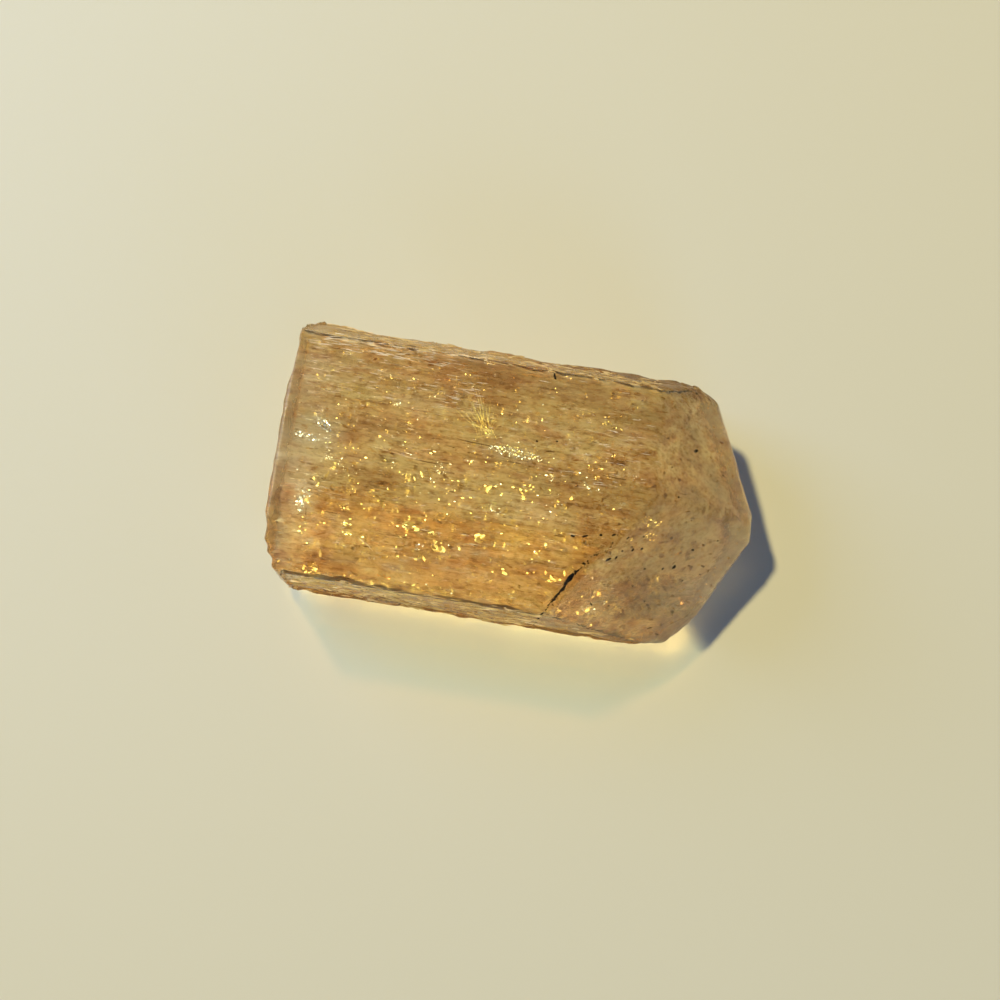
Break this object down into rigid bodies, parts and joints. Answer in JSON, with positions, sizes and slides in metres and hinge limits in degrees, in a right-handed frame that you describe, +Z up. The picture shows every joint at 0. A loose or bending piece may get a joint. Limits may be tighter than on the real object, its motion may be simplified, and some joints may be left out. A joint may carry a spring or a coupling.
{
  "type": "imperial topaz crystal",
  "caption": "Loose natural topaz crystal, golden brown, with a striated prism, a worn pointed end and a flat cleavage end. Lies on a prism face.",
  "frame": {"origin": "on the surface that the crystal rests on, under the middle of its box", "axes": "+X along the crystal from its cleavage end to its point, +Z up from the face it rests on to the face on top"},
  "size_m": [0.0294, 0.0166, 0.0118],
  "materials": {
    "topaz": "natural crystal faces, golden brown, satin on the worn end"
  },
  "bodies": {
    "root": {"topaz_crystal": "topaz"}
  },
  "joints": []
}
